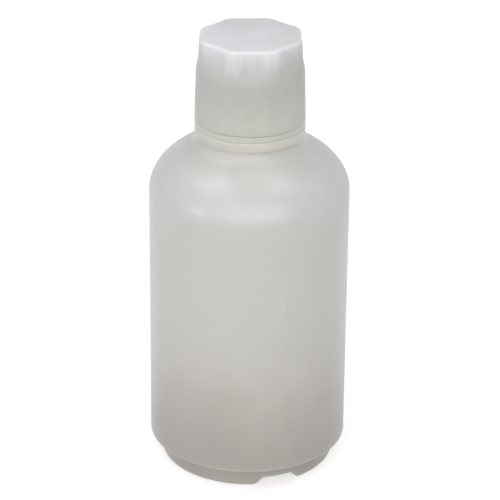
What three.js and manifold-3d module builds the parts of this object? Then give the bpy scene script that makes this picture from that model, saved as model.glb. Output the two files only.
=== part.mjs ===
// A round buttress bottle of natural plastic with a deep screw cap and a sealing liner.
// Millimetres, +Z up. The bottle stands on z = 0 with its axis on Z, and -Y is its front.

import * as THREE from 'three';
import { mergeVertices } from 'three/addons/utils/BufferGeometryUtils.js';
import Module from 'manifold-3d';

// Body and shoulder. The shoulder is half an ellipse: it starts upright and flattens towards the neck.
const bodyRadius = 38.5;
const bodyHeight = 103.6;
const bodyWall = 1.2;
const bodyCornerRound = 1.0;
const domeRise = 23.5;
const shoulderBlend = 2.9;

// Foot ring, set in under the body, with a pushed-up base inside it.
const footInset = 4.6;
const footHeight = 8.4;
const footRound = 1.5;
const footRootFillet = 0.8;
const restRingWidth = 2.8;
const basePushUp = 3.2;

// Notches in the foot ring at both ends of the mould's parting line.
const partingAngle = 21;
const notchHeight = 3.0;
const notchHalfWidth = 9.5;
const notchFlank = 4.3;
const notchDepth = 9.5;

// Neck: root, two rings, threaded barrel and pouring lip.
const ringOverhang = 0.3;
const lowerRingHeight = 4.0;
const upperRingHeight = 2.4;
const ringEdgeRound = 0.5;
const ringGrooveDepth = 0.4;
const ringGrooveHalfWidth = 0.35;
const neckRootWall = 1.8;
const neckRadius = 17.2;
const neckWall = 2.4;
const neckHeight = 29.4;
const barrelHeight = 21.0;
const barrelTaperHeight = 1.5;
const lipNeckInset = 1.2;
const lipBead = 0.4;
const lipBeadHeight = 1.5;
const lipRound = 0.4;
const lipChamfer = 0.4;
const neckInnerRound = 2.0;
const boreRound = 1.0;

// Buttress thread. The load flank is nearly level and the other flank leans at the lean given here.
const threadPitch = 4.2;
const threadDepth = 1.3;
const threadCrestWidth = 0.9;
const loadFlankLean = 7;
const backFlankLean = 45;
const threadStartHeight = 9.0;
const neckThreadTurns = 1.75;
const capThreadTurns = 1.5;
const capThreadLag = 0.2;
const threadFade = 30;
const threadSink = 0.5;

// Cap: round skirt, small ledge, eight broad ribs with shallow panels between them, rounded top edge.
const capWall = 1.7;
const capTopThickness = 1.8;
const skirtDraft = 0.6;
const skirtEdgeRound = 0.4;
const gripHeight = 11.4;
const ribCount = 8;
const ribAngle = 24.6;
const ribHalfAngle = 7.5;
const ribFlankAngle = 2.5;
const ribDraft = 0.6;
const panelDepth = 1.0;
const panelDraft = 0.7;
const ledgeHeight = 1.6;
const capTopRound = 0.8;

// Liner and clearances.
const linerThickness = 1.1;
const seatClearance = 0.3;
const threadClearance = 0.3;
const crestClearance = 0.3;
const overcut = 2;

// Facets round the axis, along curves and along a turn of thread.
const facets = 48;
const curveSteps = 3;
const domeSteps = 12;
const panelSteps = 4;
const threadSteps = 36;

// Heights and radii that follow from the sizes above.
const footRadius = bodyRadius - footInset;
const restInnerRadius = footRadius - footRound - restRingWidth;
const shoulderBase = footHeight + bodyHeight;
const skirtTopRadius = neckRadius + threadDepth + crestClearance + capWall;
const skirtRadius = skirtTopRadius + skirtDraft;
const ringRadius = skirtRadius;
const neckRootRadius = ringRadius - ringOverhang;
const boreRadius = neckRadius - neckWall;
const lipNeckRadius = neckRadius - lipNeckInset;
const lipRadius = lipNeckRadius + lipBead;

const { degToRad } = THREE.MathUtils;
const quarter = Math.PI / 2;

function point(radius, height) {
  return new THREE.Vector2(radius, height);
}

// A quarter turn of a profile between two of the directions 0 (outward), 1 (up), 2 (inward), 3 (down).
function corner(centreRadius, centreHeight, radius, from, to, steps = curveSteps) {
  const clockwise = to < from;
  const curve = new THREE.EllipseCurve(
    centreRadius, centreHeight, radius, radius, from * quarter, to * quarter, clockwise,
  );
  return curve.getPoints(steps);
}

// The shoulder's ellipse, then a blend that turns it upright at the neck root.
function shoulder(radius, rise, rootRadius, steps) {
  const endRadius = rootRadius + shoulderBlend;
  const endAngle = Math.acos(endRadius / radius);
  const dome = new THREE.EllipseCurve(0, shoulderBase, radius, rise, 0, endAngle).getPoints(steps);
  const end = dome[dome.length - 1];
  const slope = (rise * Math.cos(endAngle)) / (radius * Math.sin(endAngle));
  const bend = point(rootRadius, end.y + shoulderBlend * slope);
  const upright = point(rootRadius, bend.y + bend.distanceTo(end));
  const blend = new THREE.QuadraticBezierCurve(end, bend, upright).getPoints(curveSteps);
  return [...dome, ...blend.slice(1)];
}

const outerShoulder = shoulder(bodyRadius, domeRise, neckRootRadius, domeSteps);
const ringBase = outerShoulder[outerShoulder.length - 1].y;
const grooveHeight = ringBase + lowerRingHeight;
const ringTop = grooveHeight + upperRingHeight;
const barrelTop = ringTop + barrelHeight;
const lipTop = ringTop + neckHeight;
const linerBase = lipTop + seatClearance;
const linerTop = linerBase + linerThickness;
const capCeiling = linerTop + seatClearance;
const capTop = capCeiling + capTopThickness;
const skirtBase = ringTop + seatClearance;
const ledgeTop = capTop - gripHeight;

// Turns a profile round the Z axis. Its first and last points lie on the axis.
function revolve(profile) {
  const geometry = new THREE.LatheGeometry(profile, facets);
  geometry.rotateX(quarter);
  return geometry;
}

const wasm = await Module();
wasm.setup();

// A closed geometry as a solid: shared corners are merged and triangles of no area are dropped.
function toSolid(geometry) {
  const bare = new THREE.BufferGeometry();
  bare.setAttribute('position', geometry.getAttribute('position').clone());
  if (geometry.index) {
    bare.setIndex(geometry.index.clone());
  }
  const merged = mergeVertices(bare);
  const triangles = [];
  for (let i = 0; i < merged.index.count; i += 3) {
    const [a, b, c] = [0, 1, 2].map((step) => merged.index.getX(i + step));
    if (a !== b && b !== c && c !== a) {
      triangles.push(a, b, c);
    }
  }
  return new wasm.Manifold(new wasm.Mesh({
    numProp: 3,
    vertProperties: new Float32Array(merged.getAttribute('position').array),
    triVerts: new Uint32Array(triangles),
  }));
}

function toGeometry(solid) {
  const mesh = solid.getMesh();
  const geometry = new THREE.BufferGeometry();
  geometry.setAttribute('position', new THREE.BufferAttribute(new Float32Array(mesh.vertProperties), 3));
  geometry.setIndex(new THREE.BufferAttribute(new Uint32Array(mesh.triVerts), 1));
  geometry.computeVertexNormals();
  return geometry;
}

// Skins a row of closed outlines, each with as many points as the next, and caps both ends flat.
function loft(outlines) {
  const positions = [];
  const indices = [];
  const count = outlines[0].length;
  for (const outline of outlines) {
    for (const place of outline) {
      positions.push(place.x, place.y, place.z);
    }
  }
  for (let row = 0; row + 1 < outlines.length; row += 1) {
    for (let i = 0; i < count; i += 1) {
      const here = row * count + i;
      const beside = row * count + ((i + 1) % count);
      indices.push(here, beside, beside + count, here, beside + count, here + count);
    }
  }
  const last = (outlines.length - 1) * count;
  for (let i = 1; i + 1 < count; i += 1) {
    indices.push(0, i + 1, i, last, last + i, last + i + 1);
  }
  const geometry = new THREE.BufferGeometry();
  geometry.setAttribute('position', new THREE.Float32BufferAttribute(positions, 3));
  geometry.setIndex(indices);
  return geometry;
}

// How far a line that leans by some degrees climbs over a distance.
function lean(distance, degrees) {
  return distance * Math.tan(degToRad(degrees));
}

// A helical ridge on a round wall. Its root lies inside the wall and its crest stands out of it.
// At each end the crest sinks back into the wall over the fade angle. The rises run clockwise.
function threadRidge({ wallRadius, rootStand, crestStand, rises, startHeight, startTurn, turns }) {
  const steps = Math.round(turns * threadSteps);
  const outlines = [];
  for (let i = 0; i <= steps; i += 1) {
    const turn = (turns * i) / steps;
    const toEnd = 360 * Math.min(turn, turns - turn);
    const fade = Math.min(1, toEnd / threadFade);
    const stands = { root: rootStand, crest: THREE.MathUtils.lerp(rootStand / 2, crestStand, fade) };
    const angle = 2 * Math.PI * (startTurn + turn);
    const height = startHeight + threadPitch * (startTurn + turn);
    outlines.push(rises.map(([place, rise]) => {
      const radius = wallRadius + stands[place];
      return new THREE.Vector3(radius * Math.cos(angle), radius * Math.sin(angle), height + rise);
    }));
  }
  return loft(outlines);
}

// The neck's ridge: load flank underneath, leaning back flank on top.
function neckThread() {
  const depth = threadDepth + threadSink;
  return threadRidge({
    wallRadius: neckRadius,
    rootStand: -threadSink,
    crestStand: threadDepth,
    rises: [
      ['root', threadCrestWidth + lean(depth, backFlankLean)],
      ['crest', threadCrestWidth],
      ['crest', 0],
      ['root', -lean(depth, loadFlankLean)],
    ],
    startHeight: ringTop + threadStartHeight,
    startTurn: 0,
    turns: neckThreadTurns,
  });
}

// The cap's ridge hooks under the neck's: its load flank is on top, a clearance below the neck's.
function capThread() {
  const wallRadius = neckRadius + threadDepth + crestClearance + skirtDraft;
  const reach = wallRadius - neckRadius - crestClearance;
  const depth = reach + threadSink;
  const crestTop = -threadClearance - lean(threadDepth - crestClearance, loadFlankLean);
  const crestBase = crestTop - threadCrestWidth;
  return threadRidge({
    wallRadius,
    rootStand: threadSink,
    crestStand: -reach,
    rises: [
      ['root', crestBase - lean(depth, backFlankLean)],
      ['crest', crestBase],
      ['crest', crestTop],
      ['root', crestTop + lean(depth, loadFlankLean)],
    ],
    startHeight: ringTop + threadStartHeight,
    startTurn: capThreadLag,
    turns: capThreadTurns,
  });
}

// Cuts the foot ring across, with flanks that round into the ring. Growth leaves a wall over the cut.
function notchCutter(angle, growth) {
  const half = notchHalfWidth + growth;
  const roof = notchHeight + growth;
  const shape = new THREE.Shape();
  shape.moveTo(-half, -overcut);
  shape.lineTo(half, -overcut);
  shape.lineTo(half, 0);
  shape.bezierCurveTo(half - notchFlank / 2, 0, half - notchFlank / 2, roof, half - notchFlank, roof);
  shape.lineTo(notchFlank - half, roof);
  shape.bezierCurveTo(notchFlank / 2 - half, roof, notchFlank / 2 - half, 0, -half, 0);
  shape.closePath();
  const geometry = new THREE.ExtrudeGeometry(shape, {
    depth: notchDepth + overcut + growth,
    bevelEnabled: false,
    curveSegments: curveSteps * 2,
  });
  geometry.translate(0, 0, footRadius - notchDepth - growth);
  geometry.rotateX(quarter);
  geometry.rotateZ(degToRad(angle));
  return toSolid(geometry);
}

// The outside of the bottle, from the middle of its base up to its lip.
function bottleOutline() {
  return [
    ...new THREE.EllipseCurve(0, 0, restInnerRadius, basePushUp, quarter, 0, true).getPoints(curveSteps * 2),
    ...corner(footRadius - footRound, footRound, footRound, 3, 4),
    ...corner(footRadius + footRootFillet, footHeight - footRootFillet, footRootFillet, 2, 1),
    ...corner(bodyRadius - bodyCornerRound, footHeight + bodyCornerRound, bodyCornerRound, 3, 4),
    ...outerShoulder,
    ...corner(ringRadius - ringEdgeRound, ringBase + ringEdgeRound, ringEdgeRound, 3, 4),
    point(ringRadius, grooveHeight - ringGrooveHalfWidth),
    point(ringRadius - ringGrooveDepth, grooveHeight),
    point(ringRadius, grooveHeight + ringGrooveHalfWidth),
    ...corner(ringRadius - ringEdgeRound, ringTop - ringEdgeRound, ringEdgeRound, 0, 1),
    point(neckRadius, ringTop),
    point(neckRadius, barrelTop),
    point(lipNeckRadius, barrelTop + barrelTaperHeight),
    point(lipNeckRadius, lipTop - lipBeadHeight - lipBead),
    point(lipRadius, lipTop - lipBeadHeight),
    ...corner(lipRadius - lipRound, lipTop - lipRound, lipRound, 0, 1),
    point(0, lipTop),
  ];
}

// The inside of the bottle, one wall in from the outside, out through the lip.
function cavityOutline() {
  const floor = bodyWall / (basePushUp + bodyWall);
  const baseEdge = Math.PI - Math.asin(floor) - quarter;
  const base = new THREE.EllipseCurve(
    0, 0, restInnerRadius + bodyWall, basePushUp + bodyWall, quarter, quarter - baseEdge, true,
  );
  const footInner = footRadius - bodyWall;
  const bodyInner = bodyRadius - bodyWall;
  const stepHeight = footHeight + bodyWall;
  const rootInner = neckRootRadius - neckRootWall;
  const ceiling = ringTop - neckRootWall;
  return [
    ...base.getPoints(curveSteps * 2),
    ...corner(footInner - bodyCornerRound, bodyWall + bodyCornerRound, bodyCornerRound, 3, 4, 2),
    point(footInner, stepHeight),
    ...corner(bodyInner - bodyCornerRound, stepHeight + bodyCornerRound, bodyCornerRound, 3, 4, 2),
    ...shoulder(bodyInner, domeRise - bodyWall, rootInner, domeSteps - 2),
    ...corner(rootInner - neckInnerRound, ceiling - neckInnerRound, neckInnerRound, 0, 1),
    ...corner(boreRadius + boreRound, ceiling + boreRound, boreRound, 3, 2),
    point(boreRadius, lipTop - lipChamfer),
    point(boreRadius + lipChamfer, lipTop),
    point(boreRadius + lipChamfer, lipTop + overcut),
    point(0, lipTop + overcut),
  ];
}

function makeBottle() {
  let outside = toSolid(revolve(bottleOutline())).add(toSolid(neckThread()));
  let inside = toSolid(revolve(cavityOutline()));
  for (const angle of [partingAngle, partingAngle + 180]) {
    outside = outside.subtract(notchCutter(angle, 0));
    inside = inside.subtract(notchCutter(angle, bodyWall));
  }
  return toGeometry(outside.subtract(inside));
}

// Angles of the cap's facets from the middle of one rib to just short of the next.
function ribFacets() {
  const share = 360 / ribCount;
  const panelStart = ribHalfAngle + ribFlankAngle;
  const angles = [0, ribHalfAngle];
  for (let i = 0; i <= panelSteps; i += 1) {
    angles.push(THREE.MathUtils.lerp(panelStart, share - panelStart, i / panelSteps));
  }
  angles.push(share - ribHalfAngle);
  return angles;
}

// One level of the cap: the radius of its ribs, and that of the panels where they are sunk.
function capLevel(height, radius, panel = radius) {
  const share = 360 / ribCount;
  const outline = [];
  for (let rib = 0; rib < ribCount; rib += 1) {
    for (const step of ribFacets()) {
      const onRib = Math.min(step, share - step) <= ribHalfAngle;
      const reach = onRib ? radius : panel;
      const angle = degToRad(ribAngle + rib * share + step) - quarter;
      outline.push(new THREE.Vector3(reach * Math.cos(angle), reach * Math.sin(angle), height));
    }
  }
  return outline;
}

// Radii of the ribs and of the panels between them, which both lean in towards the top.
function gripAt(height) {
  const share = (height - ledgeTop) / gripHeight;
  return {
    rib: skirtTopRadius - ribDraft * share,
    panel: skirtTopRadius - panelDepth - panelDraft * share,
  };
}

function capOutside() {
  const levels = [
    capLevel(skirtBase, skirtRadius - skirtEdgeRound),
    capLevel(skirtBase + skirtEdgeRound, skirtRadius),
    capLevel(ledgeTop - ledgeHeight, skirtTopRadius),
    capLevel(ledgeTop, gripAt(ledgeTop).rib, gripAt(ledgeTop).panel),
  ];
  const roundSteps = curveSteps + 1;
  for (let i = 0; i <= roundSteps; i += 1) {
    const angle = (quarter * i) / roundSteps;
    const height = capTop - capTopRound * (1 - Math.sin(angle));
    const inset = capTopRound * (1 - Math.cos(angle));
    const grip = gripAt(height);
    levels.push(capLevel(height, grip.rib - inset, grip.panel - inset));
  }
  return toSolid(loft(levels));
}

function capInside() {
  const skirtDrop = (skirtDraft * (overcut + seatClearance)) / (ledgeTop - skirtBase);
  return toSolid(loft([
    capLevel(skirtBase - overcut, skirtRadius + skirtDrop - capWall),
    capLevel(ledgeTop - ledgeHeight, skirtTopRadius - capWall),
    capLevel(ledgeTop, gripAt(ledgeTop).panel - capWall),
    capLevel(capCeiling, linerRadius() + seatClearance),
  ]));
}

function linerRadius() {
  return gripAt(capCeiling).panel - capWall - seatClearance;
}

function makeCap() {
  return toGeometry(capOutside().subtract(capInside()).add(toSolid(capThread())));
}

// The liner is a plain foam disc with softened edges.
function makeLiner() {
  const round = linerThickness / 4;
  return revolve([
    point(0, linerBase),
    point(linerRadius() - round, linerBase),
    point(linerRadius(), linerBase + round),
    point(linerRadius(), linerTop - round),
    point(linerRadius() - round, linerTop),
    point(0, linerTop),
  ]);
}

function plastic(color, roughness) {
  return new THREE.MeshStandardMaterial({ color, roughness, metalness: 0 });
}

function node(name, geometry, material) {
  const mesh = new THREE.Mesh(geometry, material);
  mesh.name = name;
  return mesh;
}

const group = new THREE.Group();
group.add(
  node('bottle', makeBottle(), plastic('#cdccc7', 0.45)),
  node('cap', makeCap(), plastic('#c8c7c4', 0.5)),
  node('cap_liner', makeLiner(), plastic('#f1f2f4', 0.9)),
);

export default group;
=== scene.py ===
import math

import bmesh
import bpy
from mathutils import Matrix, Vector


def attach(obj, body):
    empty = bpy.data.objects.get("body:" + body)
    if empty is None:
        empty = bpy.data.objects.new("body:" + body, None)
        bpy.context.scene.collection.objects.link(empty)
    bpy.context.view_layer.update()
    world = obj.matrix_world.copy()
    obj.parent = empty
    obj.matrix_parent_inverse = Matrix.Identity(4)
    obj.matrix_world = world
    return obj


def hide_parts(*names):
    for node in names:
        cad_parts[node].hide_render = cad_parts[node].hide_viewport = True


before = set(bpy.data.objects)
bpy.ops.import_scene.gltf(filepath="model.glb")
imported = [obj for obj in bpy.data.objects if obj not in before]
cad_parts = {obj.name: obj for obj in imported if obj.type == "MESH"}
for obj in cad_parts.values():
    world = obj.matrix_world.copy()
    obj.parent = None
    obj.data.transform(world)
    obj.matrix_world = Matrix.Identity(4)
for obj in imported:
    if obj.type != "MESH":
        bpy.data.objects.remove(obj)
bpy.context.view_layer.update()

# Everything below is in millimetres until a mesh is made, and MM turns it into metres.
MM = 0.001
QUARTER = math.pi / 2

# Body, shoulder and foot of the bottle.
BODY_RADIUS = 38.5
BODY_HEIGHT = 103.6
BODY_WALL = 1.2
BODY_CORNER_ROUND = 1.0
DOME_RISE = 23.5
SHOULDER_BLEND = 2.9
FOOT_RADIUS = 33.9
FOOT_HEIGHT = 8.4
FOOT_ROUND = 1.5
FOOT_ROOT_FILLET = 0.8
REST_INNER_RADIUS = 29.6
BASE_PUSH_UP = 3.2

# Notches in the foot ring and the line where the mould's halves met.
PARTING_ANGLE = math.radians(21)
NOTCH_HEIGHT = 3.0
NOTCH_HALF_WIDTH = 9.5
NOTCH_FLANK = 4.3
NOTCH_DEPTH = 9.5
NOTCH_END_BLEND = 1.2
PARTING_RIDGE_HEIGHT = 0.07
PARTING_RIDGE_WIDTH = 0.45

# Neck, rings, barrel and lip.
RING_RADIUS = 21.1
RING_OVERHANG = 0.3
LOWER_RING_HEIGHT = 4.0
UPPER_RING_HEIGHT = 2.4
RING_EDGE_ROUND = 0.5
RING_GROOVE_DEPTH = 0.4
RING_GROOVE_HALF_WIDTH = 0.35
NECK_ROOT_WALL = 1.8
NECK_RADIUS = 17.2
BORE_RADIUS = 14.8
NECK_HEIGHT = 29.4
BARREL_HEIGHT = 21.0
BARREL_TAPER_HEIGHT = 1.5
NECK_FILLET = 0.6
LIP_NECK_RADIUS = 16.0
LIP_RADIUS = 16.4
LIP_BEAD_HEIGHT = 1.5
LIP_ROUND = 0.4
NECK_INNER_ROUND = 2.0
BORE_ROUND = 1.0

# Buttress thread.
THREAD_PITCH = 4.2
THREAD_DEPTH = 1.3
THREAD_CREST_WIDTH = 0.9
LOAD_FLANK_LEAN = math.radians(7)
BACK_FLANK_LEAN = math.radians(45)
THREAD_START_HEIGHT = 9.0
NECK_THREAD_TURNS = 1.75
CAP_THREAD_TURNS = 1.5
CAP_THREAD_LAG = 0.2
THREAD_FADE = math.radians(30)
THREAD_SINK = 0.5
THREAD_CLEARANCE = 0.3
CREST_CLEARANCE = 0.3
THREAD_STEPS_PER_TURN = 120

# Cap and liner.
CAP_WALL = 1.7
SKIRT_TOP_RADIUS = 20.5
SKIRT_EDGE_ROUND = 0.3
SKIRT_REACH = 0.18
GRIP_HEIGHT = 11.4
RIB_COUNT = 8
RIB_ANGLE = math.radians(24.6)
RIB_HALF_ANGLE = math.radians(3)
RIB_FLANK_ANGLE = math.radians(14)
RIB_DRAFT = 0.6
PANEL_DEPTH = 1.0
PANEL_DRAFT = 0.7
LEDGE_HEIGHT = 1.6
LEDGE_SOFTENING = 0.8
PANEL_RUN_OUT = 4.0
CAP_TOP_ROUND = 0.8
CAP_TOP_STEPS = 8
CAP_TOP_RING_SHARES = (0.96, 0.85, 0.6, 0.3)
CAP_TOP_THICKNESS = 1.8
SEAT_CLEARANCE = 0.3
LINER_THICKNESS = 1.1
LINER_EDGE_ROUND = 0.3

# Mesh fineness.
COLUMNS = 240
CAP_COLUMNS = 480
CURVE_STEPS = 6
DOME_STEPS = 36
WALL_STEP = 3.0
SMOOTH_ANGLE = math.radians(32)

# Tints of the plastics by height in metres, as linear colours. Beside the plastics' own tone, they hold
# painted light and shade, told at each table.
# Bottle: painted shade makes the body darker towards the foot, a little of it the plastic's own warmer tone
# low down. The foot is painted lighter against its own shade, and a band below the shoulder is painted darker.
BOTTLE_TINTS_WITH_PAINTED_SHADE_AND_HIGHLIGHT = [
    (0.000, (0.51, 0.47, 0.435)),
    (0.010, (0.42, 0.39, 0.365)),
    (0.034, (0.56, 0.53, 0.49)),
    (0.054, (0.77, 0.71, 0.65)),
    (0.085, (0.87, 0.82, 0.725)),
    (0.105, (0.81, 0.775, 0.695)),
    # painted highlight band on the shoulder
    (0.122, (0.89, 0.87, 0.82)),
    # painted shade at the neck root, the rings and the neck
    (0.135, (0.62, 0.60, 0.555)),
    (0.180, (0.62, 0.60, 0.555)),
]
# Cap: painted light makes its top pale and bluish and its skirt's edge lighter; the band below, where the neck
# stands behind the wall, is painted shade.
CAP_TINTS_WITH_PAINTED_LIGHT_AND_SHADE = [
    (0.136, (0.66, 0.65, 0.61)),
    (0.150, (0.58, 0.57, 0.54)),
    (0.166, (0.50, 0.50, 0.48)),
    (0.180, (0.88, 0.89, 0.94)),
]

# Skin of both plastics. Noise scales are per metre, and lengths in metres.
CLOUD_SCALE = 28
CLOUD_REACH = 0.012
FROST_SCALE = 260
PATCH_SCALE = 60
PATCH_SPREAD = 0.04
RIPPLE_SCALE = 32
RIPPLE_STRENGTH = 0.25
RIPPLE_DEPTH = 0.0005
GRAIN_STRENGTH = 0.10
GRAIN_DEPTH = 0.0001
NOISE_MIDDLE = (0.3, 0.7)
PLASTIC_IOR = 1.52
INNER_LIGHT_RADIUS = (1.0, 0.97, 0.92)
SHEEN_ROUGHNESS = 0.35
SHEEN_TINT = (0.86, 0.90, 1.0, 1)
COAT_ROUGHNESS = 0.16
FOAM_CELL_SCALE = 1800

# Floor and lights, in metres and watts. Each light: name, place, size, power, colour.
FLOOR_REACH = 6.0
FLOOR_DROP = 0.0002
FLOOR_COLOUR = (0.68, 0.68, 0.68, 1)
FLOOR_GLOW = 0.60
WORLD_LEVEL = 0.40
LIGHT_TARGET = (0, 0, 0.1)
LIGHTS = [
    ("left_softbox", (-0.47, -0.08, 0.98), (0.58, 0.44), 2.1, (0.98, 0.99, 1.0)),
    ("right_softbox", (0.36, -0.10, 1.02), (0.50, 0.40), 1.7, (0.98, 0.99, 1.0)),
    ("front_fill", (0.06, -1.14, 0.46), (1.5, 0.9), 7.9, (1.0, 0.985, 0.955)),
    ("low_left_lamp", (-1.2, -0.72, 0.26), (0.07, 0.07), 1.4, (1, 1, 1)),
]

# Camera, fitted to the photograph. Its frame is 500 pixels square.
FRAME_PIXELS = 500
FOCAL_PIXELS = 2488.85
SENSOR_MM = 36
CAMERA_PITCH = math.radians(25.114)
CAMERA_ROLL = math.radians(0.539)
CAMERA_PLACE = Vector((0.00046, -0.8747, 0.49573))


def quarter_turn(centre_radius, centre_height, radius, start, end, steps=CURVE_STEPS):
    """Profile points of a rounded corner. Directions: 0 outward, 1 up, 2 inward, 3 down."""
    points = []
    for i in range(steps + 1):
        angle = QUARTER * (start + (end - start) * i / steps)
        points.append((centre_radius + radius * math.cos(angle), centre_height + radius * math.sin(angle)))
    return points


def ellipse(radius, rise, base, start, end, steps):
    """Profile points of an ellipse round the axis, between two angles above the level."""
    points = []
    for i in range(steps + 1):
        angle = start + (end - start) * i / steps
        points.append((radius * math.cos(angle), base + rise * math.sin(angle)))
    return points


def shoulder(radius, rise, root_radius, steps):
    """The dome shoulder and the blend that turns it upright at the neck root."""
    base = FOOT_HEIGHT + BODY_HEIGHT
    end_angle = math.acos((root_radius + SHOULDER_BLEND) / radius)
    dome = ellipse(radius, rise, base, 0, end_angle, steps)
    end = Vector(dome[-1])
    slope = rise * math.cos(end_angle) / (radius * math.sin(end_angle))
    bend = Vector((root_radius, end.y + SHOULDER_BLEND * slope))
    upright = Vector((root_radius, bend.y + (bend - end).length))
    blend = []
    for i in range(1, CURVE_STEPS + 1):
        t = i / CURVE_STEPS
        place = (1 - t) ** 2 * end + 2 * t * (1 - t) * bend + t * t * upright
        blend.append((place.x, place.y))
    return dome + blend


OUTER_SHOULDER = shoulder(BODY_RADIUS, DOME_RISE, RING_RADIUS - RING_OVERHANG, DOME_STEPS)
RING_BASE = OUTER_SHOULDER[-1][1]
GROOVE_HEIGHT = RING_BASE + LOWER_RING_HEIGHT
RING_TOP = GROOVE_HEIGHT + UPPER_RING_HEIGHT
LIP_TOP = RING_TOP + NECK_HEIGHT
LINER_BASE = LIP_TOP + SEAT_CLEARANCE
LINER_TOP = LINER_BASE + LINER_THICKNESS
CAP_CEILING = LINER_TOP + SEAT_CLEARANCE
CAP_TOP = CAP_CEILING + CAP_TOP_THICKNESS
SKIRT_BASE = RING_TOP + SEAT_CLEARANCE
LEDGE_TOP = CAP_TOP - GRIP_HEIGHT


def filled(profile, longest):
    """Adds points so that no stretch of a profile is longer than asked."""
    points = [profile[0]]
    for end in profile[1:]:
        start = Vector(points[-1])
        reach = Vector(end) - start
        parts = max(1, math.ceil(reach.length / longest))
        for i in range(1, parts + 1):
            place = start + reach * i / parts
            points.append((place.x, place.y))
    return points


def bottle_outside():
    """From the middle of the base, round the foot and up to the lip."""
    return [
        *ellipse(REST_INNER_RADIUS, BASE_PUSH_UP, 0, QUARTER, 0, CURVE_STEPS * 4),
        *quarter_turn(FOOT_RADIUS - FOOT_ROUND, FOOT_ROUND, FOOT_ROUND, 3, 4),
        *quarter_turn(FOOT_RADIUS + FOOT_ROOT_FILLET, FOOT_HEIGHT - FOOT_ROOT_FILLET, FOOT_ROOT_FILLET, 2, 1),
        *quarter_turn(BODY_RADIUS - BODY_CORNER_ROUND, FOOT_HEIGHT + BODY_CORNER_ROUND,
                      BODY_CORNER_ROUND, 3, 4),
        *OUTER_SHOULDER,
        *quarter_turn(RING_RADIUS - RING_EDGE_ROUND, RING_BASE + RING_EDGE_ROUND, RING_EDGE_ROUND, 3, 4),
        *groove(),
        *quarter_turn(RING_RADIUS - RING_EDGE_ROUND, RING_TOP - RING_EDGE_ROUND, RING_EDGE_ROUND, 0, 1),
        *quarter_turn(NECK_RADIUS + NECK_FILLET, RING_TOP + NECK_FILLET, NECK_FILLET, 3, 2),
        (NECK_RADIUS, RING_TOP + BARREL_HEIGHT),
        (LIP_NECK_RADIUS, RING_TOP + BARREL_HEIGHT + BARREL_TAPER_HEIGHT),
        (LIP_NECK_RADIUS, LIP_TOP - LIP_BEAD_HEIGHT - LIP_ROUND),
        (LIP_RADIUS, LIP_TOP - LIP_BEAD_HEIGHT),
        *quarter_turn(LIP_RADIUS - LIP_ROUND, LIP_TOP - LIP_ROUND, LIP_ROUND, 0, 1),
    ]


def groove():
    """The soft groove between the two neck rings."""
    points = []
    for i in range(CURVE_STEPS * 2 + 1):
        share = i / CURVE_STEPS - 1
        depth = RING_GROOVE_DEPTH * (1 + math.cos(math.pi * share)) / 2
        points.append((RING_RADIUS - depth, GROOVE_HEIGHT + RING_GROOVE_HALF_WIDTH * share))
    return points


def bottle_inside():
    """From the lip, down the bore and the wall, to the middle of the floor."""
    foot_inner = FOOT_RADIUS - BODY_WALL
    body_inner = BODY_RADIUS - BODY_WALL
    step_height = FOOT_HEIGHT + BODY_WALL
    root_inner = RING_RADIUS - RING_OVERHANG - NECK_ROOT_WALL
    ceiling = RING_TOP - NECK_ROOT_WALL
    floor_rise = BASE_PUSH_UP + BODY_WALL
    floor_edge = math.asin(BODY_WALL / floor_rise)
    up_from_floor = [
        *ellipse(REST_INNER_RADIUS + BODY_WALL, floor_rise, 0, QUARTER, floor_edge, CURVE_STEPS * 3),
        *quarter_turn(foot_inner - BODY_CORNER_ROUND, BODY_WALL + BODY_CORNER_ROUND, BODY_CORNER_ROUND, 3, 4),
        (foot_inner, step_height),
        *quarter_turn(body_inner - BODY_CORNER_ROUND, step_height + BODY_CORNER_ROUND,
                      BODY_CORNER_ROUND, 3, 4),
        *shoulder(body_inner, DOME_RISE - BODY_WALL, root_inner, DOME_STEPS),
        *quarter_turn(root_inner - NECK_INNER_ROUND, ceiling - NECK_INNER_ROUND, NECK_INNER_ROUND, 0, 1),
        *quarter_turn(BORE_RADIUS + BORE_ROUND, ceiling + BORE_ROUND, BORE_ROUND, 3, 2),
        *quarter_turn(BORE_RADIUS + LIP_ROUND, LIP_TOP - LIP_ROUND, LIP_ROUND, 2, 1),
    ]
    return up_from_floor[::-1]


def smooth_step(value):
    value = min(1, max(0, value))
    return value * value * (3 - 2 * value)


def column_angles():
    """Even columns, with a few more close to the parting line so that its ridge has a form."""
    angles = [2 * math.pi * i / COLUMNS for i in range(COLUMNS)]
    for side in (0, math.pi):
        middle = PARTING_ANGLE - QUARTER + side
        clear = 3 * PARTING_RIDGE_WIDTH / BODY_RADIUS
        angles = [a for a in angles if abs(math.remainder(a - middle, 2 * math.pi)) > clear]
        for step in (-2, -1, -0.5, 0, 0.5, 1, 2):
            angles.append((middle + step * PARTING_RIDGE_WIDTH / BODY_RADIUS) % (2 * math.pi))
    return sorted(angles)


def notch_lift(across):
    """Height of the notch's roof at a distance from its middle."""
    return NOTCH_HEIGHT * smooth_step((NOTCH_HALF_WIDTH - abs(across)) / NOTCH_FLANK)


def bottle_point(radius, height, angle):
    """A point of the bottle's skin, with the notches lifted in and the parting ridge raised."""
    turn = math.remainder(angle + QUARTER - PARTING_ANGLE, math.pi)
    across = radius * math.sin(turn)
    if height < FOOT_HEIGHT:
        lift = notch_lift(across)
        inner_end = FOOT_RADIUS - NOTCH_DEPTH
        lift *= smooth_step((radius - inner_end) / NOTCH_END_BLEND)
        height = lift + height * (1 - lift / FOOT_HEIGHT)
    if radius > BODY_RADIUS - BODY_WALL / 2 or height > FOOT_HEIGHT + BODY_HEIGHT and radius > RING_RADIUS:
        radius += PARTING_RIDGE_HEIGHT * math.exp(-(across / PARTING_RIDGE_WIDTH) ** 2)
    return Vector((radius * math.cos(angle), radius * math.sin(angle), height)) * MM


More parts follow.
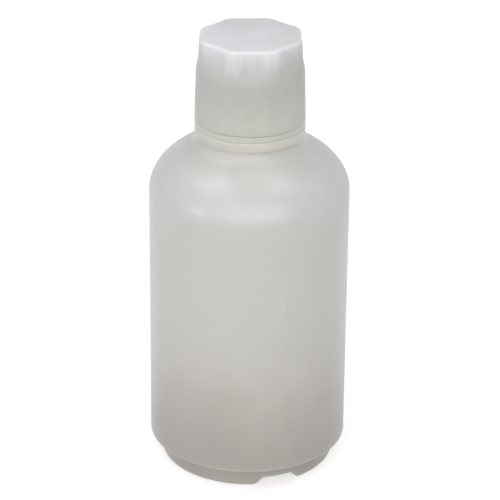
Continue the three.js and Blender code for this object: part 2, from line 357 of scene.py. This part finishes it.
def skin(name, rings, start, end):
    """A closed mesh through rings of points, with a point at each end on the axis."""
    mesh = bmesh.new()
    rows = [[mesh.verts.new(place) for place in ring] for ring in rings]
    first = mesh.verts.new(start)
    last = mesh.verts.new(end)
    count = len(rows[0])
    for lower, upper in zip(rows, rows[1:]):
        for i in range(count):
            beside = (i + 1) % count
            mesh.faces.new((lower[i], lower[beside], upper[beside], upper[i]))
    for i in range(count):
        beside = (i + 1) % count
        mesh.faces.new((first, rows[0][beside], rows[0][i]))
        mesh.faces.new((last, rows[-1][i], rows[-1][beside]))
    bmesh.ops.recalc_face_normals(mesh, faces=mesh.faces)
    data = bpy.data.meshes.new(name)
    mesh.to_mesh(data)
    mesh.free()
    piece = bpy.data.objects.new(name, data)
    bpy.context.scene.collection.objects.link(piece)
    return piece


def without_repeats(profile):
    """Drops points that lie on the one before them."""
    points = [profile[0]]
    for place in profile[1:]:
        if (Vector(place) - Vector(points[-1])).length > 1e-4:
            points.append(place)
    return points


def thread_ridge(name, wall_radius, root_stand, crest_stand, rises, start_turn, turns):
    """A helical ridge whose crest sinks into the wall at both ends."""
    steps = round(turns * THREAD_STEPS_PER_TURN)
    mesh = bmesh.new()
    rows = []
    for i in range(steps + 1):
        turn = turns * i / steps
        to_end = 2 * math.pi * min(turn, turns - turn)
        fade = smooth_step(to_end / THREAD_FADE)
        stands = {"root": root_stand, "crest": root_stand / 2 + (crest_stand - root_stand / 2) * fade}
        angle = 2 * math.pi * (start_turn + turn)
        height = RING_TOP + THREAD_START_HEIGHT + THREAD_PITCH * (start_turn + turn)
        row = []
        for place, rise in rises:
            radius = wall_radius + stands[place]
            row.append(mesh.verts.new(Vector(
                (radius * math.cos(angle), radius * math.sin(angle), height + rise)) * MM))
        rows.append(row)
    for here, there in zip(rows, rows[1:]):
        for i in range(len(rises)):
            beside = (i + 1) % len(rises)
            mesh.faces.new((here[i], here[beside], there[beside], there[i]))
    mesh.faces.new(rows[0][::-1])
    mesh.faces.new(rows[-1])
    bmesh.ops.recalc_face_normals(mesh, faces=mesh.faces)
    data = bpy.data.meshes.new(name)
    mesh.to_mesh(data)
    mesh.free()
    ridge = bpy.data.objects.new(name, data)
    bpy.context.scene.collection.objects.link(ridge)
    return ridge


def join(piece, tool):
    """Adds a solid to a piece for good."""
    modifier = piece.modifiers.new("join", "BOOLEAN")
    modifier.operation = "UNION"
    modifier.solver = "EXACT"
    modifier.object = tool
    whole = piece.evaluated_get(bpy.context.evaluated_depsgraph_get())
    data = bpy.data.meshes.new_from_object(whole)
    piece.modifiers.clear()
    piece.data = data
    bpy.data.objects.remove(tool)


def finish_surface(piece, material):
    """Smooth shading that keeps the real edges, and the piece's one material."""
    data = piece.data
    data.name = piece.name
    data.shade_smooth()
    data.set_sharp_from_angle(angle=SMOOTH_ANGLE)
    data.materials.clear()
    data.materials.append(material)


def make_bottle(material):
    angles = column_angles()
    outside = filled(without_repeats(bottle_outside()), WALL_STEP)
    inside = filled(without_repeats(bottle_inside()), WALL_STEP)
    profile = outside + inside
    start = bottle_point(0, profile[0][1], 0)
    end = bottle_point(0, profile[-1][1], 0)
    rings = [[bottle_point(radius, height, a) for a in angles] for radius, height in profile[1:-1]]
    piece = skin("bottle_shell", rings, start, end)
    depth = THREAD_DEPTH + THREAD_SINK
    ridge = thread_ridge("neck_thread", NECK_RADIUS, -THREAD_SINK, THREAD_DEPTH, [
        ("root", THREAD_CREST_WIDTH + depth * math.tan(BACK_FLANK_LEAN)),
        ("crest", THREAD_CREST_WIDTH),
        ("crest", 0),
        ("root", -depth * math.tan(LOAD_FLANK_LEAN)),
    ], 0, NECK_THREAD_TURNS)
    join(piece, ridge)
    finish_surface(piece, material)
    return piece


def grip_at(height):
    """Radii of the ribs and of the panels between them."""
    share = (height - LEDGE_TOP) / GRIP_HEIGHT
    return SKIRT_TOP_RADIUS - RIB_DRAFT * share, SKIRT_TOP_RADIUS - PANEL_DEPTH - PANEL_DRAFT * share


def cap_ring(height, radius, panel=None):
    """One level of the cap: the radius of its ribs, and that of the panels where they are sunk."""
    ring = []
    share = 2 * math.pi / RIB_COUNT
    for i in range(CAP_COLUMNS):
        turn = 2 * math.pi * i / CAP_COLUMNS
        reach = radius
        if panel is not None:
            from_rib = abs(math.remainder(turn, share))
            reach += (panel - radius) * smooth_step((from_rib - RIB_HALF_ANGLE) / RIB_FLANK_ANGLE)
        angle = RIB_ANGLE + turn - QUARTER
        ring.append(Vector((reach * math.cos(angle), reach * math.sin(angle), height)) * MM)
    return ring


def skirt_radius_at(height):
    """Radius of the round skirt, which narrows up to the ledge."""
    share = (height - SKIRT_BASE) / (LEDGE_TOP - LEDGE_HEIGHT - SKIRT_BASE)
    return RING_RADIUS + (SKIRT_TOP_RADIUS - RING_RADIUS) * share


def cap_outside_rings():
    """From the skirt's edge, over the soft ledge and the grip, in to the middle of the top."""
    rings = []
    edge_height = SKIRT_BASE - SKIRT_REACH + SKIRT_EDGE_ROUND
    for radius, height in quarter_turn(RING_RADIUS - SKIRT_EDGE_ROUND, edge_height, SKIRT_EDGE_ROUND, 3, 4):
        rings.append(cap_ring(height, radius))
    ledge_base = LEDGE_TOP - LEDGE_HEIGHT - LEDGE_SOFTENING
    ledge_top = LEDGE_TOP + PANEL_RUN_OUT
    low = SKIRT_BASE + SKIRT_EDGE_ROUND
    parts = math.ceil((ledge_base - low) / WALL_STEP)
    for i in range(1, parts + 1):
        height = low + (ledge_base - low) * i / parts
        rings.append(cap_ring(height, skirt_radius_at(height)))
    for i in range(1, CURVE_STEPS * 2 + 1):
        share = i / (CURVE_STEPS * 2)
        height = ledge_base + (ledge_top - ledge_base) * share
        rib = min(skirt_radius_at(height), grip_at(height)[0])
        sunk = smooth_step(share) * (rib - grip_at(height)[1])
        rings.append(cap_ring(height, rib, rib - sunk))
    high = CAP_TOP - CAP_TOP_ROUND
    parts = math.ceil((high - ledge_top) / WALL_STEP)
    for i in range(1, parts):
        height = ledge_top + (high - ledge_top) * i / parts
        rings.append(cap_ring(height, *grip_at(height)))
    for i in range(CAP_TOP_STEPS + 1):
        angle = QUARTER * i / CAP_TOP_STEPS
        height = high + CAP_TOP_ROUND * math.sin(angle)
        inset = CAP_TOP_ROUND * (1 - math.cos(angle))
        rib, panel = grip_at(height)
        rings.append(cap_ring(height, rib - inset, panel - inset))
    edge = rings[-1]
    for share in CAP_TOP_RING_SHARES:
        rings.append([Vector((place.x * share, place.y * share, place.z)) for place in edge])
    return rings


def cap_inside_rings():
    """From the middle of the ceiling down to the skirt's edge."""
    liner_seat = grip_at(CAP_CEILING)[1] - CAP_WALL
    ledge_base = LEDGE_TOP - LEDGE_HEIGHT
    profile = [
        (0, CAP_CEILING),
        *quarter_turn(liner_seat - LINER_EDGE_ROUND, CAP_CEILING - LINER_EDGE_ROUND, LINER_EDGE_ROUND, 1, 0),
        (grip_at(LEDGE_TOP)[1] - CAP_WALL, LEDGE_TOP),
        (SKIRT_TOP_RADIUS - CAP_WALL, ledge_base),
        (RING_RADIUS - CAP_WALL, SKIRT_BASE - SKIRT_REACH),
    ]
    profile = filled(profile, WALL_STEP)
    return [cap_ring(height, radius) for radius, height in profile[1:]]


def make_cap(material):
    rings = cap_inside_rings() + cap_outside_rings()
    piece = skin("cap_shell", rings, Vector((0, 0, CAP_CEILING * MM)), Vector((0, 0, CAP_TOP * MM)))
    wall = NECK_RADIUS + THREAD_DEPTH + CREST_CLEARANCE + RING_RADIUS - SKIRT_TOP_RADIUS
    reach = wall - NECK_RADIUS - CREST_CLEARANCE
    depth = reach + THREAD_SINK
    crest_top = -THREAD_CLEARANCE - (THREAD_DEPTH - CREST_CLEARANCE) * math.tan(LOAD_FLANK_LEAN)
    crest_base = crest_top - THREAD_CREST_WIDTH
    ridge = thread_ridge("cap_thread", wall, THREAD_SINK, -reach, [
        ("root", crest_base - depth * math.tan(BACK_FLANK_LEAN)),
        ("crest", crest_base),
        ("crest", crest_top),
        ("root", crest_top + depth * math.tan(LOAD_FLANK_LEAN)),
    ], CAP_THREAD_LAG, CAP_THREAD_TURNS)
    join(piece, ridge)
    finish_surface(piece, material)
    return piece


def make_liner(material):
    radius = grip_at(CAP_CEILING)[1] - CAP_WALL - SEAT_CLEARANCE
    profile = [
        (0, LINER_BASE),
        *quarter_turn(radius - LINER_EDGE_ROUND, LINER_BASE + LINER_EDGE_ROUND, LINER_EDGE_ROUND, 3, 4),
        *quarter_turn(radius - LINER_EDGE_ROUND, LINER_TOP - LINER_EDGE_ROUND, LINER_EDGE_ROUND, 0, 1),
        (0, LINER_TOP),
    ]
    profile = filled(without_repeats(profile), WALL_STEP)
    rings = []
    for ring_radius, height in profile[1:-1]:
        ring = []
        for i in range(COLUMNS):
            angle = 2 * math.pi * i / COLUMNS
            ring.append(Vector((ring_radius * math.cos(angle), ring_radius * math.sin(angle), height)) * MM)
        rings.append(ring)
    piece = skin("liner_disc", rings, Vector((0, 0, LINER_BASE * MM)), Vector((0, 0, LINER_TOP * MM)))
    finish_surface(piece, material)
    return piece


def new_material(name):
    material = bpy.data.materials.new(name)
    material.use_nodes = True
    nodes = material.node_tree.nodes
    shader = nodes["Principled BSDF"]
    return material, nodes, material.node_tree.links, shader


def noise_node(nodes, links, coordinates, scale, detail, roughness=0.5):
    node = nodes.new("ShaderNodeTexNoise")
    node.inputs["Scale"].default_value = scale
    node.inputs["Detail"].default_value = detail
    node.inputs["Roughness"].default_value = roughness
    links.new(coordinates, node.inputs["Vector"])
    return node.outputs["Fac"]


def range_node(nodes, links, value, low, high, to_low, to_high):
    node = nodes.new("ShaderNodeMapRange")
    node.inputs["From Min"].default_value = low
    node.inputs["From Max"].default_value = high
    node.inputs["To Min"].default_value = to_low
    node.inputs["To Max"].default_value = to_high
    links.new(value, node.inputs["Value"])
    return node.outputs["Result"]


def mix_colours(nodes, links, factor, first, second):
    node = nodes.new("ShaderNodeMix")
    node.data_type = "RGBA"
    node.inputs["A"].default_value = (*first, 1)
    node.inputs["B"].default_value = (*second, 1)
    links.new(factor, node.inputs["Factor"])
    return node.outputs["Result"]


def bump(nodes, links, height, strength, distance, normal=None):
    node = nodes.new("ShaderNodeBump")
    node.inputs["Strength"].default_value = strength
    node.inputs["Distance"].default_value = distance
    links.new(height, node.inputs["Height"])
    if normal is not None:
        links.new(normal, node.inputs["Normal"])
    return node.outputs["Normal"]


def tint_with_painted_light_by_height(nodes, links, height, tints_with_painted_light):
    """A colour that changes with the height in the material, through (height, colour) steps, which carry
    painted light and shade as well as the plastic's tone.
    """
    low, high = tints_with_painted_light[0][0], tints_with_painted_light[-1][0]
    ramp = nodes.new("ShaderNodeValToRGB")
    ramp.color_ramp.interpolation = "B_SPLINE"
    steps = ramp.color_ramp.elements
    while len(steps) < len(tints_with_painted_light):
        steps.new(0.5)
    for step, (place, colour) in zip(steps, tints_with_painted_light):
        step.position = (place - low) / (high - low)
        step.color = (*colour, 1)
    links.new(range_node(nodes, links, height, low, high, 0, 1), ramp.inputs["Fac"])
    return ramp.outputs["Color"]


def natural_plastic(name, tints_with_painted_light, roughness, grain_scale, mottle, sheen, gloss, blur):
    """Translucent natural plastic: soft light inside, tint by height with painted light and shade in it, faint
    clouds, satin skin.
    """
    material, nodes, links, shader = new_material(name)
    place = nodes.new("ShaderNodeTexCoord").outputs["Object"]
    height = nodes.new("ShaderNodeSeparateXYZ")
    links.new(place, height.inputs["Vector"])
    cloud = noise_node(nodes, links, place, CLOUD_SCALE, 2)
    wander = nodes.new("ShaderNodeMath")
    wander.operation = "ADD"
    links.new(range_node(nodes, links, cloud, 0, 1, -CLOUD_REACH, CLOUD_REACH), wander.inputs[0])
    links.new(height.outputs["Z"], wander.inputs[1])
    frost = nodes.new("ShaderNodeHueSaturation")
    # Base colour: the height ramp, painted light and shade included, wandered by the clouds and mottled by
    # frost.
    links.new(tint_with_painted_light_by_height(nodes, links, wander.outputs["Value"], tints_with_painted_light), frost.inputs["Color"])
    frosting = noise_node(nodes, links, place, FROST_SCALE, 5, 0.7)
    links.new(range_node(nodes, links, frosting, *NOISE_MIDDLE, 1 - mottle, 1 + mottle), frost.inputs["Value"])
    links.new(frost.outputs["Color"], shader.inputs["Base Color"])
    patch = noise_node(nodes, links, place, PATCH_SCALE, 4)
    rough = range_node(nodes, links, patch, *NOISE_MIDDLE, roughness - PATCH_SPREAD, roughness + PATCH_SPREAD)
    links.new(rough, shader.inputs["Roughness"])
    ripple_noise = noise_node(nodes, links, place, RIPPLE_SCALE, 1)
    ripple = bump(nodes, links, ripple_noise, RIPPLE_STRENGTH, RIPPLE_DEPTH)
    grain_noise = noise_node(nodes, links, place, grain_scale, 3, 0.6)
    grain = bump(nodes, links, grain_noise, GRAIN_STRENGTH, GRAIN_DEPTH, ripple)
    links.new(grain, shader.inputs["Normal"])
    settings = {
        "IOR": PLASTIC_IOR,
        "Subsurface Weight": 1.0,
        "Subsurface Radius": INNER_LIGHT_RADIUS,
        "Subsurface Scale": blur,
        "Sheen Weight": sheen,
        "Sheen Roughness": SHEEN_ROUGHNESS,
        "Sheen Tint": SHEEN_TINT,
        "Specular IOR Level": 0.5 * gloss,
        "Coat Weight": 0.15 * gloss,
        "Coat Roughness": COAT_ROUGHNESS,
    }
    for socket, value in settings.items():
        shader.inputs[socket].default_value = value
    return material


def liner_foam():
    """White closed-cell foam."""
    material, nodes, links, shader = new_material("liner_foam")
    place = nodes.new("ShaderNodeTexCoord").outputs["Object"]
    cells = nodes.new("ShaderNodeTexVoronoi")
    cells.inputs["Scale"].default_value = FOAM_CELL_SCALE
    links.new(place, cells.inputs["Vector"])
    tint = mix_colours(nodes, links, cells.outputs["Distance"], (0.90, 0.91, 0.93), (0.80, 0.81, 0.83))
    links.new(tint, shader.inputs["Base Color"])
    links.new(bump(nodes, links, cells.outputs["Distance"], 0.5, 0.0002), shader.inputs["Normal"])
    rough = range_node(nodes, links, cells.outputs["Distance"], 0, 1, 0.75, 0.95)
    links.new(rough, shader.inputs["Roughness"])
    return material


def make_floor():
    """A pale floor that shows white to the camera where it is lit, and keeps the shadow."""
    data = bpy.data.meshes.new("floor")
    reach = FLOOR_REACH
    corners = [(-reach, -reach, 0), (reach, -reach, 0), (reach, reach, 0), (-reach, reach, 0)]
    data.from_pydata(corners, [], [(0, 1, 2, 3)])
    floor = bpy.data.objects.new("floor", data)
    bpy.context.scene.collection.objects.link(floor)
    floor.location.z = -FLOOR_DROP
    material, nodes, links, shader = new_material("floor_white")
    shader.inputs["Base Color"].default_value = FLOOR_COLOUR
    shader.inputs["Roughness"].default_value = 0.9
    shader.inputs["Specular IOR Level"].default_value = 0.0
    shader.inputs["Emission Color"].default_value = (1, 1, 1, 1)
    links.new(seen_directly(nodes, links, 0.0, FLOOR_GLOW), shader.inputs["Emission Strength"])
    data.materials.append(material)


def seen_directly(nodes, links, otherwise, strength):
    """A value that is the strength for camera, glossy and transmission rays."""
    path = nodes.new("ShaderNodeLightPath")
    either = path.outputs["Is Camera Ray"]
    for kind in ("Is Glossy Ray", "Is Transmission Ray"):
        largest = nodes.new("ShaderNodeMath")
        largest.operation = "MAXIMUM"
        links.new(either, largest.inputs[0])
        links.new(path.outputs[kind], largest.inputs[1])
        either = largest.outputs["Value"]
    return range_node(nodes, links, either, 0, 1, otherwise, strength)


def make_world():
    """An even pale surround: white where it is seen directly, dimmer as a light."""
    world = bpy.data.worlds.new("studio")
    bpy.context.scene.world = world
    world.use_nodes = True
    nodes = world.node_tree.nodes
    links = world.node_tree.links
    background = nodes["Background"]
    background.inputs["Color"].default_value = (1, 1, 1, 1)
    links.new(seen_directly(nodes, links, WORLD_LEVEL, 1.0), background.inputs["Strength"])


def area_light(name, place, size, power, colour):
    light = bpy.data.lights.new(name, "AREA")
    light.shape = "RECTANGLE"
    light.size, light.size_y = size
    light.energy = power
    light.color = colour
    lamp = bpy.data.objects.new(name, light)
    bpy.context.scene.collection.objects.link(lamp)
    lamp.location = place
    lamp.rotation_euler = (Vector(LIGHT_TARGET) - Vector(place)).to_track_quat("-Z", "Y").to_euler()


def make_camera():
    camera = bpy.data.cameras.new("camera")
    camera.sensor_width = SENSOR_MM
    camera.lens = FOCAL_PIXELS / FRAME_PIXELS * SENSOR_MM
    camera.clip_start = 0.05
    camera.clip_end = 50
    viewer = bpy.data.objects.new("camera", camera)
    bpy.context.scene.collection.objects.link(viewer)
    forward = Vector((0, math.cos(CAMERA_PITCH), -math.sin(CAMERA_PITCH)))
    up = Vector((0, math.sin(CAMERA_PITCH), math.cos(CAMERA_PITCH)))
    right = Vector((1, 0, 0))
    tilted_right = math.cos(CAMERA_ROLL) * right + math.sin(CAMERA_ROLL) * up
    tilted_up = math.cos(CAMERA_ROLL) * up - math.sin(CAMERA_ROLL) * right
    turn = Matrix((tilted_right, tilted_up, -forward)).transposed()
    viewer.matrix_world = Matrix.Translation(CAMERA_PLACE) @ turn.to_4x4()
    bpy.context.scene.camera = viewer


def make_scene():
    scene = bpy.context.scene
    scene.view_settings.view_transform = "Standard"
    make_camera()
    make_floor()
    for light in LIGHTS:
        area_light(*light)
    make_world()
    bottle_plastic = natural_plastic(
        "bottle_plastic", BOTTLE_TINTS_WITH_PAINTED_SHADE_AND_HIGHLIGHT,
        roughness=0.33, grain_scale=1500, mottle=0.01, sheen=0.0, gloss=1.0, blur=0.006)
    cap_plastic = natural_plastic(
        "cap_plastic", CAP_TINTS_WITH_PAINTED_LIGHT_AND_SHADE,
        roughness=0.55, grain_scale=1800, mottle=0.03, sheen=0.5, gloss=0.2, blur=0.004)
    parts = (
        (make_bottle(bottle_plastic), "bottle", "bottle", "bottle_plastic"),
        (make_cap(cap_plastic), "cap", "cap", "cap_plastic"),
        (make_liner(liner_foam()), "cap_liner", "liner", "liner_foam"),
    )
    for piece, node, body, slot in parts:
        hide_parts(node)
        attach(piece, body)


make_scene()
